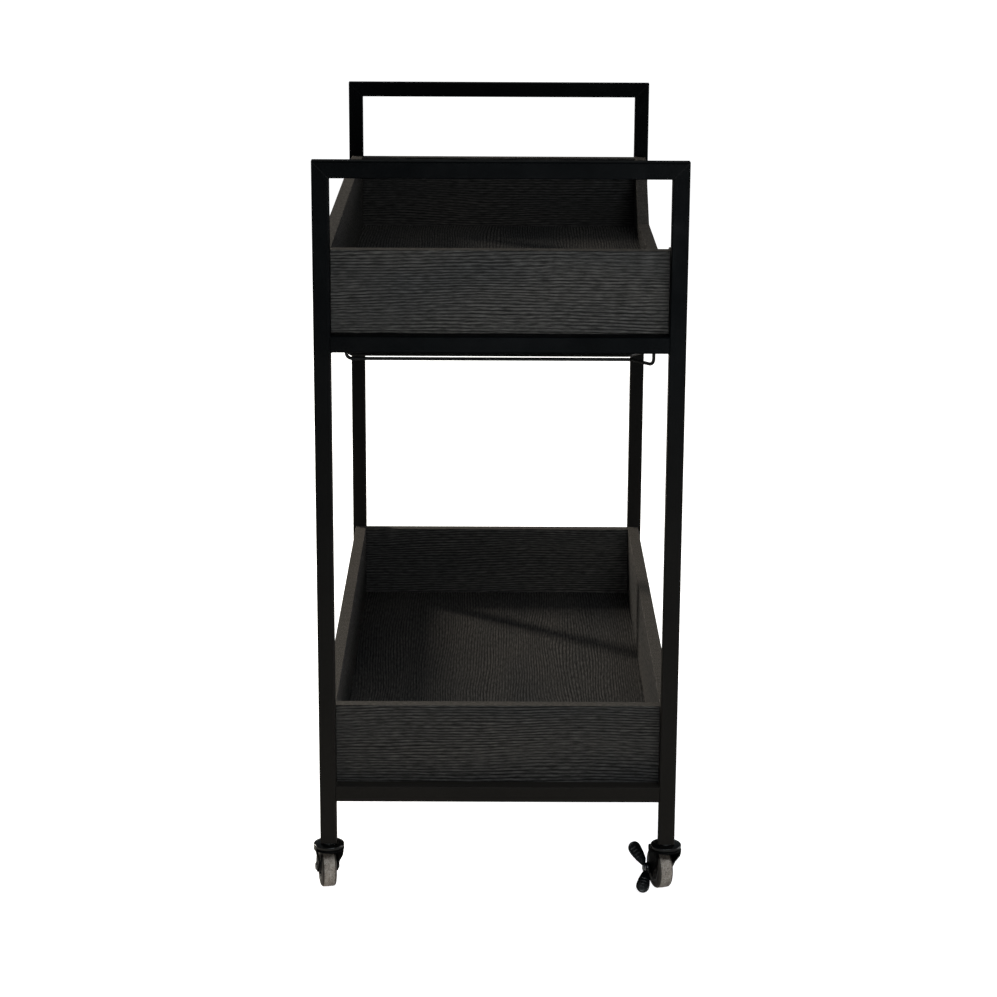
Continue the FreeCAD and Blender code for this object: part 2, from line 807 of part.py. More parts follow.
def caster_set():
    inserts = []
    balls = []
    for caster, (side_x, side_y, _, has_brake) in CASTERS.items():
        x = f"{side_x} * (cart_length - tube_side) / 2"
        y = f"{side_y} * (cart_width - tube_side) / 2"
        caster_stem(caster)
        ball_cup(caster)
        fork(caster)
        axle(caster, has_brake)
        wheel(caster)
        if has_brake:
            brake_lever(caster)
        plug = block("insert_blank", "insert_side", "insert_side", "insert_length",
                     f"{x} - insert_side / 2", f"{y} - insert_side / 2", "leg_bottom")
        thread = rod("insert_thread", "stem_radius", "insert_length", x, y, "leg_bottom")
        inserts.append(drilled("insert", plug, [thread]))
        for step in range(BALLS_PER_CASTER):
            angle = 360 / BALLS_PER_CASTER * step
            ball = doc.addObject("Part::Sphere", "ball")
            bind(ball, Radius="ball_radius")
            place(ball, f"{x} + ball_circle * cos({angle})", f"{y} + ball_circle * sin({angle})", BALL_CENTRE)
            balls.append(ball)
    keep(grouped("all_inserts", inserts), "leg_inserts")
    keep(grouped("all_balls", balls), "caster_balls")


# ---- build, check, export ---------------------------------------------------------------------

def check_document():
    for item in doc.Objects:
        if "Invalid" in item.State or "Error" in item.State:
            raise RuntimeError(f"{item.Name} failed: {item.State}")
    for piece in nodes:
        if piece.Shape.isNull() or not piece.Shape.isValid() or not piece.Shape.Solids:
            raise RuntimeError(f"{piece.Label} has no valid solid")


def export_parts():
    os.makedirs("parts", exist_ok=True)
    for piece in nodes:
        piece.Shape.exportStep(f"parts/{piece.Label}.step")
        print(piece.Label, len(piece.Shape.Solids), round(piece.Shape.Volume))


fill_sheet()
for frame_end, frame_side in (("left", -1), ("right", 1)):
    end_frame(frame_end, frame_side)
for tray_level in ("upper", "lower"):
    tray(tray_level)
tray_fixings()
stemware_rack()
caster_set()
doc.recompute()
check_document()
export_parts()
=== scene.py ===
import json
import math
import random

import bmesh
import bpy
from mathutils import Matrix, Vector


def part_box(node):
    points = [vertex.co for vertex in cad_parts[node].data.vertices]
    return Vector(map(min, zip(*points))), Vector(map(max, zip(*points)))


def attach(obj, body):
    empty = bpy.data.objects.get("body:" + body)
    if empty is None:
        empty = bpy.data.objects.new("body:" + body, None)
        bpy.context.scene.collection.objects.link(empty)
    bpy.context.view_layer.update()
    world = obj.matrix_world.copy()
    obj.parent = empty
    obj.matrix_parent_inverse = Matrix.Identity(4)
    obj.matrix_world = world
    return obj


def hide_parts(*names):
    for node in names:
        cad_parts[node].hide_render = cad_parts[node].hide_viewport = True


# Metres, in the CAD frame: X along the cart, -Y its open front, Z up, the floor at 0.
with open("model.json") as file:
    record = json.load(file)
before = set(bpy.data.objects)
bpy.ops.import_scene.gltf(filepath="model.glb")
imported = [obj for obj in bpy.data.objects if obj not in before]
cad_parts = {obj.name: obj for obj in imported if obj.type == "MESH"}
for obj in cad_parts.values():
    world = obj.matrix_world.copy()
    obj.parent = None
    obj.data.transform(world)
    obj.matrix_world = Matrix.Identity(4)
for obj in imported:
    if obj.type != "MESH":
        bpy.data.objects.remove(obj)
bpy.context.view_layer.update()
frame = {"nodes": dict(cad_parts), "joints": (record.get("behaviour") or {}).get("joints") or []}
NODES = frame["nodes"]
JOINTS = {joint["name"]: joint for joint in frame["joints"]}
CASTERS = ("left_front", "left_back", "right_front", "right_back")
BRAKED = [caster for caster in CASTERS if f"{caster}_brake_lever" in NODES]
MM = 0.001
UP = Vector((0, 0, 1))


def grey(value, warmth=0.0):
    """Linear grey, warmer or cooler by a small share."""
    return (value * (1 + warmth), value, value * (1 - warmth), 1)


# ---- node materials ---------------------------------------------------------------------------

class Finish:
    """A procedural material put together from small named steps."""

    def __init__(self, name, **fixed):
        self.material = bpy.data.materials.new(name)
        self.material.use_nodes = True
        self.tree = self.material.node_tree
        self.shader = self.tree.nodes["Principled BSDF"]
        self.here = self.add("ShaderNodeTexCoord").outputs["Object"]
        for socket, value in fixed.items():
            self.shader.inputs[socket.replace("_", " ")].default_value = value

    def add(self, kind, **settings):
        node = self.tree.nodes.new(kind)
        for key, value in settings.items():
            setattr(node, key, value)
        return node

    def feed(self, socket, value):
        """Link an output to an input, or set a plain value on it."""
        if isinstance(value, bpy.types.NodeSocket):
            self.tree.links.new(value, socket)
        else:
            socket.default_value = value

    def calc(self, kind, *values):
        node = self.add("ShaderNodeMath", operation=kind)
        for socket, value in zip(node.inputs, values):
            self.feed(socket, value)
        return node.outputs[0]

    def split(self, vector):
        node = self.add("ShaderNodeSeparateXYZ")
        self.feed(node.inputs[0], vector)
        return list(node.outputs)

    def point(self, x, y, z):
        node = self.add("ShaderNodeCombineXYZ")
        for socket, value in zip(node.inputs, (x, y, z)):
            self.feed(socket, value)
        return node.outputs[0]

    def noise(self, scale, detail=3.0, rough=0.55, at=None):
        node = self.add("ShaderNodeTexNoise")
        self.feed(node.inputs["Vector"], at or self.here)
        node.inputs["Scale"].default_value = scale
        node.inputs["Detail"].default_value = detail
        node.inputs["Roughness"].default_value = rough
        return node.outputs["Fac"]

    def ramp(self, value, *stops):
        """Ramp of greys or colours; each stop is (place, grey or colour)."""
        node = self.add("ShaderNodeValToRGB")
        self.feed(node.inputs["Fac"], value)
        points = node.color_ramp.elements
        while len(points) < len(stops):
            points.new(0.5)
        for point, (where, colour) in zip(points, stops):
            point.position = where
            point.color = colour if isinstance(colour, tuple) else grey(colour)
        return node.outputs["Color"]

    def mixed(self, factor, first, second, blend="MIX"):
        node = self.add("ShaderNodeMix", data_type="RGBA", blend_type=blend)
        self.feed(node.inputs["Factor"], factor)
        self.feed(node.inputs[6], first)
        self.feed(node.inputs[7], second)
        return node.outputs[2]

    def bumped(self, height, strength, depth):
        node = self.add("ShaderNodeBump")
        node.inputs["Strength"].default_value = strength
        node.inputs["Distance"].default_value = depth
        self.feed(node.inputs["Height"], height)
        return node.outputs[0]

    def done(self, colour, roughness, normal):
        self.feed(self.shader.inputs["Base Color"], colour)
        self.feed(self.shader.inputs["Roughness"], roughness)
        self.feed(self.shader.inputs["Normal"], normal)
        return self.material


MITRE_LINE = 0.35 * MM


def powder_coat(name, mitred=False):
    """Satin black paint: orange peel, dust flecks, painted floor-bounce light that grows paler and warmer
    lower down, and a fine groove with a painted highlight at each mitre.
    """
    paint = Finish(name, Specular_IOR_Level=0.02)
    _, y, z = paint.split(paint.here)
    colour = paint.ramp(paint.noise(9, 4), (0.3, grey(0.0014, -0.25)), (0.72, grey(0.0030, -0.15)))
    # painted light: the floor's bounce is drawn into the paint as a warm grey that grows stronger towards
    # the bottom
    floor_bounce_height = paint.calc("ADD", z, paint.calc("MULTIPLY", paint.noise(14, 4), 0.15))
    colour = paint.mixed(paint.ramp(floor_bounce_height, (0.12, 0.85), (0.75, 0.0)), colour, grey(0.019, 0.12))
    dust = paint.ramp(paint.noise(2600, 1), (0.70, 0.0), (0.80, 1.0))
    colour = paint.mixed(dust, colour, grey(0.010))
    rubbed = paint.ramp(paint.noise(34, 5), (0.3, 0.36), (0.7, 0.52))
    height = paint.noise(1500, 2, 0.6)
    if mitred:
        low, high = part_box("left_handle_bar")
        from_side = paint.calc("SUBTRACT", high.y, paint.calc("ABSOLUTE", y))
        from_top = paint.calc("SUBTRACT", high.z, z)
        off_line = paint.calc("ABSOLUTE", paint.calc("SUBTRACT", from_side, from_top))
        groove_and_highlight_band = paint.calc("LESS_THAN", off_line, MITRE_LINE)
        line = paint.calc("MULTIPLY", groove_and_highlight_band, paint.calc("GREATER_THAN", z, low.z))
        # painted highlight: the mitre band is paler than the paint; the same band also cuts a fine groove
        # into the bump
        colour = paint.mixed(line, colour, grey(0.011))
        height = paint.calc("SUBTRACT", height, line)
    return paint.done(colour, rubbed, paint.bumped(height, 0.25, 0.12 * MM))


RING_PITCH = 3.6 * MM


def laminate(name, grain, face_normal, seed):
    """Charcoal ash-look laminate with brushed grooves; narrow faces carry paler banding.

    grain is the axis that the grain follows, face_normal the axis through the board.
    """
    wood = Finish(name, Specular_IOR_Level=0.09)
    where = dict(zip("XYZ", wood.split(wood.here)))
    side = next(axis for axis in "XYZ" if axis not in (grain, face_normal))
    # every board starts somewhere else in the pattern
    along = wood.calc("ADD", where[grain], seed * 1.7)
    across = wood.calc("ADD", where[side], seed * 0.31)

    def field(along_scale, across_scale, line, detail=2.0, rough=0.5):
        """Noise on the board's face, as long and as narrow as its two scales."""
        at = wood.point(wood.calc("MULTIPLY", along, along_scale),
                        wood.calc("MULTIPLY", line, across_scale), float(seed))
        return wood.noise(1, detail, rough, at)

    def swayed(line, strength, along_scale, across_scale):
        """The line pushed sideways by a slow field, up to about half the strength."""
        sway = wood.calc("SUBTRACT", field(along_scale, across_scale, line), 0.5)
        return wood.calc("ADD", line, wood.calc("MULTIPLY", sway, strength))

    flow = swayed(across, 30 * MM, 2.4, 8)
    ring_line = swayed(swayed(flow, 5 * MM, 5, 45), 1.0 * MM, 24, 120)
    wave = wood.calc("SINE", wood.calc("MULTIPLY", ring_line, 2 * math.pi / RING_PITCH))
    rings = wood.calc("MULTIPLY_ADD", wave, 0.5, 0.5)
    fibres = field(70, 620, ring_line, 3.0, 0.62)
    patches = field(4, 30, flow)
    clouds = field(3, 11, across)

    grooves = wood.ramp(rings, (0.02, 0.06), (0.24, 0.72), (0.52, 1.22), (1.0, 1.32))
    brushed = wood.ramp(fibres, (0.36, 0.40), (0.50, 0.98), (0.66, 1.65))
    ring_share = wood.ramp(patches, (0.40, 0.60), (0.56, 1.0))
    tone = wood.ramp(clouds, (0.3, grey(0.030, 0.02)), (0.7, grey(0.046, 0.09)))
    face = wood.mixed(ring_share, tone, wood.mixed(1.0, tone, grooves, "MULTIPLY"))
    face = wood.mixed(0.9, face, brushed, "MULTIPLY")

    # banding lies on every face that doesn't look along the board's normal
    normals = dict(zip("XYZ", wood.split(wood.add("ShaderNodeNewGeometry").outputs["True Normal"])))
    band = wood.calc("LESS_THAN", wood.calc("ABSOLUTE", normals[face_normal]), 0.6)
    fleck_scale = {axis: 190 if axis == grain else 900 for axis in "XYZ"}
    stretched = wood.point(*[wood.calc("MULTIPLY", where[axis], fleck_scale[axis]) for axis in "XYZ"])
    flecks = wood.noise(1, 2, 0.6, stretched)
    banding = wood.ramp(flecks, (0.34, grey(0.031, 0.12)), (0.52, grey(0.056, 0.12)),
                        (0.68, grey(0.090, 0.12)))
    colour = wood.mixed(band, face, banding)

    rough = wood.ramp(fibres, (0.35, 0.74), (0.7, 0.56))
    relief = wood.calc("ADD", wood.calc("MULTIPLY", rings, 0.35), fibres)
    return wood.done(colour, rough, wood.bumped(relief, 0.9, 0.5 * MM))


def speckled(name, dark, light, scale, rough, relief=0.2, warmth=0.0, **fixed):
    """Small hardware: two close tones, uneven gloss and a fine skin."""
    skin = Finish(name, **fixed)
    colour = skin.ramp(skin.noise(scale, 4), (0.3, grey(dark, warmth)), (0.72, grey(light, warmth)))
    gloss = skin.ramp(skin.noise(scale * 2.6, 4, 0.6), (0.3, rough[0]), (0.7, rough[1]))
    return skin.done(colour, gloss, skin.bumped(skin.noise(scale * 9, 2), relief, 0.1 * MM))


def tread_rubber(name, tone, scuffed):
    """Grey-brown soft rubber, scuffed and dusty where it has rolled."""
    rubber = Finish(name, Specular_IOR_Level=0.12)
    cloud = rubber.noise(190, 5, 0.6)
    colour = rubber.ramp(cloud, (0.28, (0.52 * tone, 0.44 * tone, 0.38 * tone, 1)),
                         (0.55, (tone, 0.89 * tone, 0.79 * tone, 1)),
                         (0.8, (1.40 * tone, 1.27 * tone, 1.16 * tone, 1)))
    scuffs = rubber.ramp(rubber.noise(900, 3), (0.50, 0.0), (0.66, scuffed))
    colour = rubber.mixed(scuffs, colour, (0.060, 0.052, 0.047, 1))
    rough = rubber.ramp(cloud, (0.3, 0.42), (0.7, 0.66))
    return rubber.done(colour, rough, rubber.bumped(rubber.noise(1300, 3), 0.3, 0.15 * MM))


def beech():
    """Plain hardwood dowels."""
    dowel = Finish("beech_dowel")
    fibres = dowel.noise(700, 3, 0.6)
    colour = dowel.ramp(fibres, (0.3, (0.38, 0.24, 0.13, 1)), (0.7, (0.55, 0.38, 0.23, 1)))
    rough = dowel.ramp(fibres, (0.3, 0.55), (0.7, 0.75))
    return dowel.done(colour, rough, dowel.bumped(fibres, 0.3, 0.1 * MM))


def dress(material, *names):
    for name in names:
        mesh = NODES[name].data
        mesh.materials.clear()
        mesh.materials.append(material)


def dress_frame():
    mitred = powder_coat("frame_satin_black", mitred=True)
    plain = powder_coat("fixing_satin_black")
    for end in ("left", "right"):
        dress(mitred, *[f"{end}_{part}" for part in ("front_leg", "back_leg", "handle_bar")])
        dress(plain, f"{end}_upper_rail", f"{end}_lower_rail")
    dress(plain, "upper_tray_tabs", "lower_tray_tabs")


def dress_trays():
    """Each board has its own cut of the laminate."""
    boards = {
        "front_wall": ("X", "Y"),
        "back_wall": ("X", "Y"),
        "left_panel": ("Y", "X"),
        "right_panel": ("Y", "X"),
        "floor": ("X", "Z"),
    }
    nodes = [(f"{level}_{board}", *axes) for level in ("upper", "lower") for board, axes in boards.items()]
    for seed, (node, grain, face_normal) in enumerate(nodes, start=1):
        dress(laminate(f"laminate_{node}", grain, face_normal, seed), node)


# ---- mesh helpers -----------------------------------------------------------------------------

def piece_from(builder, name, material, body, replaced=None, sharp=35):
    """Finish a bmesh as one piece that rides on a body and may stand for a CAD node."""
    bmesh.ops.recalc_face_normals(builder, faces=builder.faces)
    for face in builder.faces:
        face.smooth = True
    for edge in builder.edges:
        edge.smooth = edge.calc_face_angle(0) < math.radians(sharp)
    mesh = bpy.data.meshes.new(name)
    builder.to_mesh(mesh)
    builder.free()
    mesh.materials.append(material)
    piece = bpy.data.objects.new(name, mesh)
    bpy.context.scene.collection.objects.link(piece)
    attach(piece, body)
    if replaced:
        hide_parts(replaced)
    return piece


def loft(builder, rings):
    """Skin between closed rings of points, with one face over each end."""
    made = [[builder.verts.new(point) for point in ring] for ring in rings]
    for before, after in zip(made, made[1:]):
        for index in range(len(before)):
            follow = (index + 1) % len(before)
            builder.faces.new((before[index], before[follow], after[follow], after[index]))
    builder.faces.new(made[0])
    builder.faces.new(made[-1])


def turned(builder, profile, place, steps=72):
    """Revolve a closed outline of (radius, height) points about Z, then place it."""
    made = []
    for step in range(steps):
        angle = 2 * math.pi * step / steps
        spots = [Vector((radius * math.cos(angle), radius * math.sin(angle), height))
                 for radius, height in profile]
        made.append([builder.verts.new(place @ spot) for spot in spots])
    for step, ring in enumerate(made):
        after = made[(step + 1) % steps]
        for index in range(len(profile)):
            follow = (index + 1) % len(profile)
            builder.faces.new((ring[index], after[index], after[follow], ring[follow]))


def arc(centre, radius, start, end, steps=6):
    """Points of a round corner in a profile, angles in degrees."""
    turns = [math.radians(start + (end - start) * step / steps) for step in range(steps + 1)]
    return [(centre[0] + radius * math.cos(turn), centre[1] + radius * math.sin(turn)) for turn in turns]


def solids_of(node):
    """Lowest and highest corner of each separate solid of a CAD node."""
    builder = bmesh.new()
    builder.from_mesh(NODES[node].data)
    bmesh.ops.remove_doubles(builder, verts=builder.verts, dist=0.01 * MM)
    left = set(builder.verts)
    spots = []
    while left:
        solid, growing = [], [left.pop()]
        while growing:
            vert = growing.pop()
            solid.append(vert.co.copy())
            fresh = [edge.other_vert(vert) for edge in vert.link_edges]
            fresh = [other for other in fresh if other in left]
            left.difference_update(fresh)
            growing += fresh
        lows = Vector([min(point[axis] for point in solid) for axis in range(3)])
        highs = Vector([max(point[axis] for point in solid) for axis in range(3)])
        spots.append((lows, highs))
    builder.free()
    return sorted(spots, key=lambda spot: [round(value, 4) for value in spot[0]])


# ---- casters ----------------------------------------------------------------------------------

BORE = 3.05 * MM
RIM_RADIUS = 18 * MM
TREAD_HALF = 8.75 * MM


def wheel_frame(caster):
    """Matrix to the cart's frame from the wheel's: X along the trail, Y along the axle, Z up."""
    joint = JOINTS[f"{caster}_wheel_spin"]
    axle = Vector(joint["axis"]).normalized()
    turn = Matrix((axle.cross(UP), axle, UP)).transposed()
    return Matrix.Translation(Vector(joint["pos_m"])) @ turn.to_4x4()


def axle_frame(caster):
    """The same place with Z along the axle, for turned pieces."""
    return wheel_frame(caster) @ Matrix.Rotation(math.radians(-90), 4, "X")


def make_tread(caster, materials):
    """Soft tread with round shoulders, a moulding seam round its middle and a step on each side."""
    low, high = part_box(f"{caster}_tread")
    wheel_radius = (high.z - low.z) / 2
    shoulder, seam, step_depth = 3.2 * MM, 0.25 * MM, 0.5 * MM
    crown = wheel_radius - seam
    step_radius = RIM_RADIUS + 1.6 * MM
    side = TREAD_HALF
    profile = [(RIM_RADIUS, -side + step_depth), (step_radius, -side + step_depth), (step_radius, -side)]
    profile += arc((crown - shoulder, -side + shoulder), shoulder, -90, 0)
    profile += [(crown, -2 * seam), (wheel_radius, -seam), (wheel_radius, seam), (crown, 2 * seam)]
    profile += arc((crown - shoulder, side - shoulder), shoulder, 0, 90)
    profile += [(step_radius, side), (step_radius, side - step_depth), (RIM_RADIUS, side - step_depth)]
    builder = bmesh.new()
    place = axle_frame(caster)
    turned(builder, profile, place, 96)
    unplaced = place.inverted()
    # painted shade: the rounded shoulders and the sides take the much darker sidewall rubber, standing for
    # the shade along the tread's edges
    for face in builder.faces:
        if abs((unplaced @ face.calc_center_median()).z) > side - 0.75 * shoulder:
            face.material_index = 1
    piece = piece_from(builder, f"{caster}_soft_tread", materials[0], f"{caster}_wheel",
                       f"{caster}_tread")
    piece.data.materials.append(materials[1])


def make_hub(caster, material):
    """Moulded hub: bored boss, web, rim, and ribs on both sides."""
    boss, rim_inside, ease = 7 * MM, 14.5 * MM, 0.5 * MM
    boss_half, web_half = 9.8 * MM, 5.25 * MM
    top = [(BORE, boss_half), (boss - ease, boss_half), (boss, boss_half - ease), (boss, web_half + ease),
           (boss + ease, web_half), (rim_inside - ease, web_half), (rim_inside, web_half + ease),
           (rim_inside, TREAD_HALF - ease), (rim_inside + ease, TREAD_HALF), (RIM_RADIUS, TREAD_HALF)]
    profile = top[::-1] + [(radius, -height) for radius, height in top]
    builder = bmesh.new()
    place = axle_frame(caster)
    turned(builder, profile, place)
    ribs, rib_half, rib_top = 8, 0.8 * MM, TREAD_HALF - 1.2 * MM
    for number in range(ribs):
        spoke = place @ Matrix.Rotation(2 * math.pi * number / ribs, 4, "Z")
        for side in (-1, 1):
            foot, crest = side * (web_half - ease), side * rib_top
            section = [(-rib_half, foot), (-rib_half, crest - side * ease), (-rib_half + ease, crest),
                       (rib_half - ease, crest), (rib_half, crest - side * ease), (rib_half, foot)]
            loft(builder, [[spoke @ Vector((radius, across, height)) for across, height in section]
                           for radius in (boss - ease, rim_inside + ease)])
    piece_from(builder, f"{caster}_ribbed_hub", material, f"{caster}_wheel", f"{caster}_hub")


def make_cup(caster, material):
    """Pressed cup over the balls: flat under the leg, domed towards its rolled edge."""
    low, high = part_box(f"{caster}_ball_cup")
    radius, top, bottom = (high.x - low.x) / 2, high.z, low.z
    sheet, bore, dome, roll = 1.8 * MM, 4 * MM, 4.2 * MM, 1.3 * MM
    outside = [(bore, top), (radius - dome - 1.2 * MM, top), (radius - dome, top - 0.2 * roll)]
    outside += arc((radius - roll, top - 2 * roll), roll, 80, 0)
    outside += [(radius, bottom + 0.3 * roll), (radius - 0.3 * roll, bottom)]
    inside = [(radius - sheet, bottom), (radius - sheet, top - roll - sheet), (radius - dome, top - sheet),
              (bore, top - sheet)]
    middle = (low + high) / 2
    builder = bmesh.new()
    turned(builder, outside + inside, Matrix.Translation((middle.x, middle.y, 0)), 96)
    piece_from(builder, f"{caster}_pressed_cup", material, "root", f"{caster}_ball_cup")


def make_fork(caster, material):
    """The pressed fork with the edges of its sheet rolled over."""
    builder = bmesh.new()
    builder.from_mesh(NODES[f"{caster}_fork"].data)
    bmesh.ops.remove_doubles(builder, verts=builder.verts, dist=0.004 * MM)
    bmesh.ops.dissolve_limit(builder, angle_limit=math.radians(0.6),
                             verts=builder.verts, edges=builder.edges)
    piece = piece_from(builder, f"{caster}_rolled_fork", material, f"{caster}_swivel",
                       f"{caster}_fork", 30)
    roll = piece.modifiers.new("rolled_edges", "BEVEL")
    roll.width = 0.45 * MM
    roll.segments = 3
    roll.limit_method = "ANGLE"
    roll.angle_limit = math.radians(40)
    roll.use_clamp_overlap = True


BOSS_START = 12.9 * MM
BOSS_END = 18.9 * MM
RIVET_CLEAR = 5.4 * MM
WING_SPLAY = math.radians(27)
WING_RISES = (math.radians(214), math.radians(67))


def pad_sections(place):
    """Sections of one moulded foot pad, from its root out to its round tip."""
    root, length, tip = 5.6 * MM, 28 * MM, 8 * MM
    root_half, thick, bow = 3.6 * MM, 1.6 * MM, 0.9 * MM
    reaches = [root, 7.5 * MM, 10 * MM, 14 * MM, 19 * MM, 24 * MM]
    reaches += [length + tip * math.sin(math.radians(turn)) for turn in (-8, 15, 35, 52, 66, 78, 86)]
    sections = []
    for reach in reaches:
        if reach <= length:
            half = root_half + (tip - root_half) * math.sin((reach - root) / (length - root) * math.pi / 2)
        else:
            half = math.sqrt(tip ** 2 - (reach - length) ** 2)
        # the outer side stays off the riveted head of the axle
        off_rivet = (reach * math.cos(WING_SPLAY) - RIVET_CLEAR) / math.sin(WING_SPLAY)
        below_rivet = ((BOSS_END - BOSS_START) / 2 - reach * math.sin(WING_SPLAY)) / math.cos(WING_SPLAY)
        outer = min(half, max(off_rivet, below_rivet))
        depth = thick * min(1, math.sqrt(half / (3 * MM)))
        dish = bow * math.sin(math.pi * (reach - root) / (length + tip - root))
        section = []
        for step in range(24):
            turn = 2 * math.pi * step / 24
            swing = math.copysign(abs(math.cos(turn)) ** 0.45, math.cos(turn))
            lift = math.copysign(abs(math.sin(turn)) ** 0.7, math.sin(turn))
            sideways = swing * (outer if swing > 0 else half)
            section.append(place @ Vector((sideways, reach, lift * depth - dish)))
        sections.append(section)
    return sections


def add_grip_ribs(builder, place):
    """Low round ribs across both faces of a pad."""
    half, run_out, spread, rise = 5.4 * MM, 0.6 * MM, 0.7 * MM, 0.55 * MM
    for reach in (17 * MM, 21 * MM, 25 * MM, 29 * MM):
        for height in (-2.1 * MM, 0.55 * MM):
            rings = []
            for across in (-half, run_out - half, half - run_out, half):
                swell = 0.35 if abs(across) == half else 1.0
                rings.append([place @ Vector((across, reach + spread * swell * math.cos(turn),
                                              height + rise * swell * math.sin(turn)))
                              for turn in (2 * math.pi * step / 12 for step in range(12))])
            loft(builder, rings)


def make_lever(caster, material):
    """Moulded two-winged brake lever: bored boss, bowed pads and grip ribs across them."""
    builder = bmesh.new()
    radius, ease = 6.5 * MM, 0.8 * MM
    profile = [(BORE, BOSS_START), (radius - ease, BOSS_START), (radius, BOSS_START + ease),
               (radius, BOSS_END - ease), (radius - ease, BOSS_END), (BORE, BOSS_END)]
    turned(builder, profile, axle_frame(caster), 64)
    middle = wheel_frame(caster) @ Matrix.Translation((0, (BOSS_START + BOSS_END) / 2, 0))
    for rise in WING_RISES:
        place = middle @ Matrix.Rotation(-rise, 4, "Y") @ Matrix.Rotation(WING_SPLAY - math.pi / 2, 4, "Z")
        loft(builder, pad_sections(place))
        add_grip_ribs(builder, place)
    piece_from(builder, f"{caster}_foot_lever", material, f"{caster}_brake",
               f"{caster}_brake_lever", 50)


def make_casters():
    gloss_black = speckled("caster_gloss_black", 0.001, 0.003, 160, (0.06, 0.18), 0.9, -0.04,
                           Specular_IOR_Level=0.4)
    fork_black = speckled("fork_black", 0.001, 0.003, 160, (0.40, 0.52), 0.5, -0.04,
                          Specular_IOR_Level=0.04)
    steel = speckled("dark_plated_steel", 0.16, 0.30, 240, (0.24, 0.42), Metallic=1.0)
    hub = speckled("hub_grey_plastic", 0.020, 0.045, 230, (0.36, 0.55), 0.25, 0.10,
                   Specular_IOR_Level=0.4)
    pedal = speckled("pedal_blue_black", 0.001, 0.003, 150, (0.12, 0.24), 0.7, -0.22,
                     Specular_IOR_Level=0.4)
    # the second rubber is the tread drawn far darker, as painted shade for its shoulders and sides
    rubbers = tread_rubber("tread_grey_brown", 0.41, 0.75), tread_rubber("tread_sidewall_painted_shade", 0.07, 0.5)
    for caster in CASTERS:
        dress(steel, f"{caster}_stem", f"{caster}_axle")
        make_cup(caster, gloss_black)
        make_fork(caster, fork_black)
        make_hub(caster, hub)
        make_tread(caster, rubbers)
    for caster in BRAKED:
        make_lever(caster, pedal)
    dress(steel, "leg_inserts", "caster_balls")


# ---- screws and welds -------------------------------------------------------------------------

SHANK = 2 * MM
HEAD_HEIGHT = 2.4 * MM


def cross_radius(turn, arm, half_width):
    """Distance from the middle to the edge of a cross-shaped recess, at an angle."""
    off_arm = abs((turn + math.pi / 4) % (math.pi / 2) - math.pi / 4)
    flank = half_width / max(math.sin(off_arm), 0.001)
    return max(min(arm, flank), half_width * math.sqrt(2))


def add_screw(builder, low, high, turn):
    """Pan-head screw that points up: crowned head with a cross recess, and a threaded shank."""
    middle = (low + high) / 2
    radius, seat = (high.x - low.x) / 2, low.z + HEAD_HEIGHT
    arm, half_width = 0.56 * radius, 0.13 * radius
    angles = [2 * math.pi * step / 64 for step in range(64)]

    def ring(reaches, height):
        return [Vector((middle.x + reach * math.cos(angle + turn),
                        middle.y + reach * math.sin(angle + turn), height))
                for angle, reach in zip(angles, reaches)]

    crown = ((0.4, 0), (0.97, 0), (1.0, 0.15), (0.98, 0.55), (0.90, 0.80), (0.76, 0.94), (0.64, 0.99))
    rings = [ring([radius * share] * 64, seat - HEAD_HEIGHT * depth) for share, depth in crown]
    cross = [cross_radius(angle, arm, half_width) for angle in angles]
    for share, depth in ((1.0, 1.0), (0.92, 0.85), (0.70, 0.35)):
        rings.append(ring([reach * share for reach in cross], seat - HEAD_HEIGHT * depth))
    loft(builder, rings)

    pitch = 1.1 * MM
    count = int((high.z - seat) / pitch) * 2
    thread = [(SHANK, seat - 0.2 * MM)]
    thread += [(SHANK * (1.0 if step % 2 else 0.78), seat + (step + 1) * pitch / 2)
               for step in range(count - 2)]
    thread += [(0.2 * SHANK, high.z)]
    loft(builder, [[Vector((middle.x + reach * math.cos(angle), middle.y + reach * math.sin(angle), height))
                    for angle in angles[::4]] for reach, height in thread])


def make_screws():
    material = speckled("black_zinc_screw", 0.020, 0.060, 500, (0.28, 0.44), Metallic=0.6)
    chance = random.Random(7)
    for node in ("tray_screws", "rack_screws"):
        builder = bmesh.new()
        for low, high in solids_of(node):
            add_screw(builder, low, high, chance.uniform(0, math.pi))
        piece_from(builder, f"{node}_pan_heads", material, "root", node)


def add_bead(builder, start, end, first, second, size, chance):
    """Rippled weld along an inside corner; first and second lead along its two walls."""
    steps = max(6, round((end - start).length / (1.1 * MM)))
    rings = []
    for step in range(steps + 1):
        share = step / steps
        run_out = min(1, 0.2 + 2.5 * math.sin(math.pi * share))
        reach = size * run_out * (1 + 0.12 * (-1) ** step + chance.uniform(-0.06, 0.06))
        corner = start.lerp(end, share)
        sunk = (first + second) * 0.2 * MM
        curve = [corner + reach * 0.8 * (first * math.cos(turn) + second * math.sin(turn))
                 for turn in (0.35, 0.79, 1.22)]
        rings.append([corner - sunk, corner + first * reach - sunk, *curve,
                      corner + second * reach - sunk])
    loft(builder, rings)


